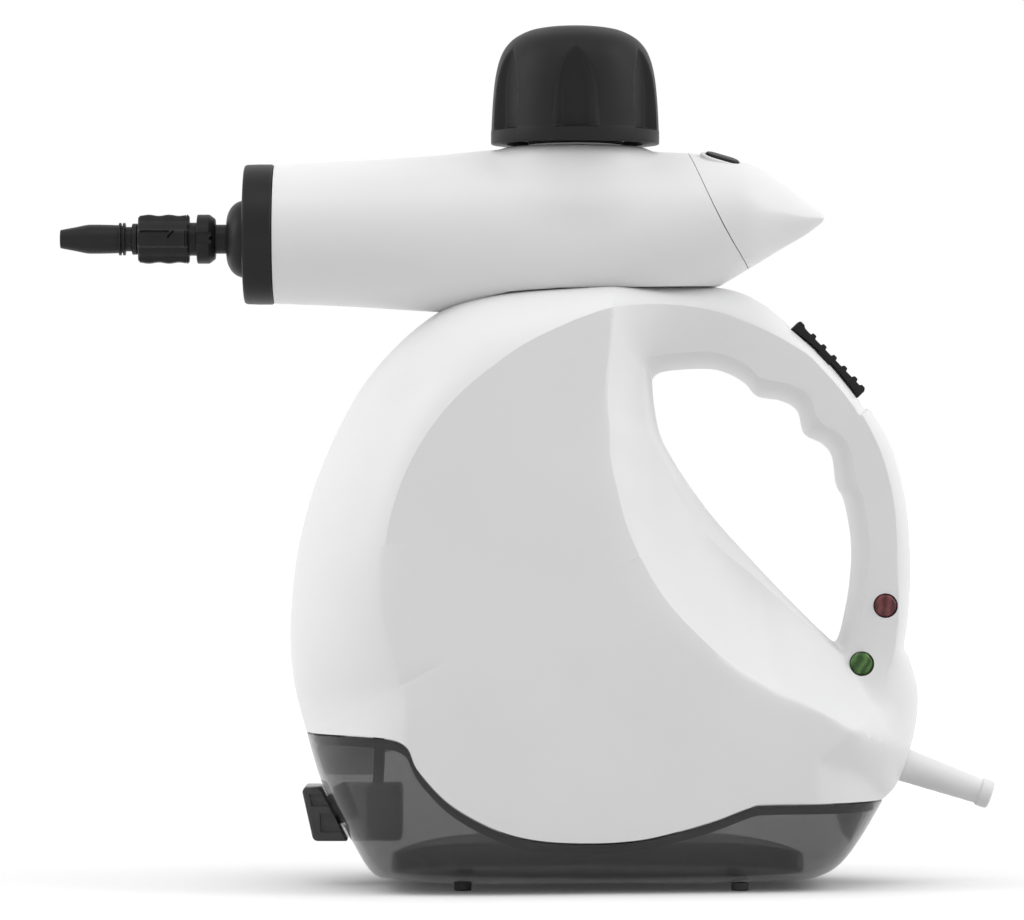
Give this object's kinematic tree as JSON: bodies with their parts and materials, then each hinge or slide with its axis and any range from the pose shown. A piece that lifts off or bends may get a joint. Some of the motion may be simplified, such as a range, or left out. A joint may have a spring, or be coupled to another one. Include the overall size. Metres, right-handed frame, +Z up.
{
  "type": "handheld steam cleaner",
  "caption": "Handheld pressure steam cleaner: round white body with a hand opening, smoked detergent tank, black safety cap and slim jet nozzle.",
  "frame": {"origin": "centre of the bounding box at the feet's underside", "axes": "+Z up, nozzle towards -X, handle and cord outlet towards +X, pilot lamps on the -Y side"},
  "size_m": [0.3268, 0.112, 0.2996],
  "materials": {
    "white_shell": "satin",
    "black_plastic": "fine grain",
    "smoked_plastic": "polished",
    "rubber": "matte",
    "silicone": "matte",
    "cast_aluminium": "cast",
    "steel": "plain",
    "brass": "machined",
    "nylon": "matte",
    "red_lens": "clear",
    "green_lens": "clear",
    "grey_plastic": "matte"
  },
  "bodies": {
    "housing": {"body_shell_left": "white_shell", "body_shell_right": "white_shell", "barrel_shell": "white_shell", "tail_cover": "white_shell", "bend_protection_boot": "white_shell", "front_collar": "black_plastic", "nozzle_base": "black_plastic", "nozzle_seal": "silicone", "detergent_tank": "smoked_plastic", "suction_filter": "smoked_plastic", "foot_front_left": "rubber", "foot_front_right": "rubber", "foot_rear_left": "rubber", "foot_rear_right": "rubber", "boiler_vessel": "cast_aluminium", "boiler_base": "cast_aluminium", "boiler_gasket": "silicone", "boiler_bolt_1": "steel", "boiler_bolt_2": "steel", "boiler_bolt_3": "steel", "boiler_bolt_4": "steel", "thermostat": "steel", "thermal_fuse": "brass", "steam_valve": "brass", "steam_pipe": "steel", "suction_hose": "silicone", "delivery_hose": "silicone", "detergent_pump": "nylon", "detergent_button_spring": "steel", "trigger_spring": "steel", "trigger_switch": "grey_plastic", "cord_clamp": "nylon", "clamp_screw_1": "steel", "clamp_screw_2": "steel", "terminal_block": "nylon", "shell_screw_1": "steel", "shell_screw_2": "steel", "shell_screw_3": "steel", "shell_screw_4": "steel", "shell_screw_5": "steel", "shell_screw_6": "steel", "red_lens": "red_lens", "green_lens": "green_lens", "red_lamp": "grey_plastic", "green_lamp": "grey_plastic"},
    "cap_gasket": {"safety_cap_seal": "silicone"},
    "cap_insert": {"safety_cap_plug": "nylon", "safety_cap_spring": "steel"},
    "cap_knob": {"safety_cap_knob": "black_plastic"},
    "nozzle": {"nozzle_grip": "black_plastic", "jet_nozzle": "black_plastic"},
    "trigger": {"steam_trigger": "black_plastic"},
    "detergent_press": {"detergent_button": "black_plastic"},
    "stopper": {"tank_stopper": "smoked_plastic", "stopper_seal": "rubber"}
  },
  "joints": [
    {"name": "cap_rise", "type": "slide", "parent": "housing", "child": "cap_gasket", "axis": [0, 0, 1], "range_m": [0, 0.0061]},
    {"name": "cap_turn", "type": "hinge", "parent": "cap_gasket", "child": "cap_insert", "pos_m": [0.01646, 0, 0.2583], "axis": [0, 0, 1], "range_deg": [0, 720]},
    {"name": "cap_press", "type": "slide", "parent": "cap_insert", "child": "cap_knob", "axis": [0, 0, -1], "range_m": [0, 0.0006], "stiffness_N_per_m": 4000, "springref_m": -0.001, "deforming": ["safety_cap_spring"]},
    {"name": "steam_trigger_press", "type": "slide", "parent": "housing", "child": "trigger", "axis": [-0.7206, 0, -0.6934], "range_m": [0, 0.003], "stiffness_N_per_m": 1200, "springref_m": -0.001, "deforming": ["trigger_spring"]},
    {"name": "detergent_button_press", "type": "slide", "parent": "housing", "child": "detergent_press", "axis": [-0.2837, 0.2419, -0.9279], "range_m": [0, 0.002], "stiffness_N_per_m": 1500, "springref_m": -0.001, "deforming": ["detergent_button_spring"]},
    {"name": "nozzle_twist", "type": "hinge", "parent": "housing", "child": "nozzle", "pos_m": [-0.11834, 0, 0.2252], "axis": [-1, 0, 0], "range_deg": [0, 45]},
    {"name": "stopper_pull", "type": "slide", "parent": "housing", "child": "stopper", "axis": [-0.9272, 0, -0.3746], "range_m": [0, 0.012]}
  ],
  "couplings": [
    {"joint": "cap_rise", "follows": "cap_turn", "m_per_rad": 0.00047746}
  ]
}
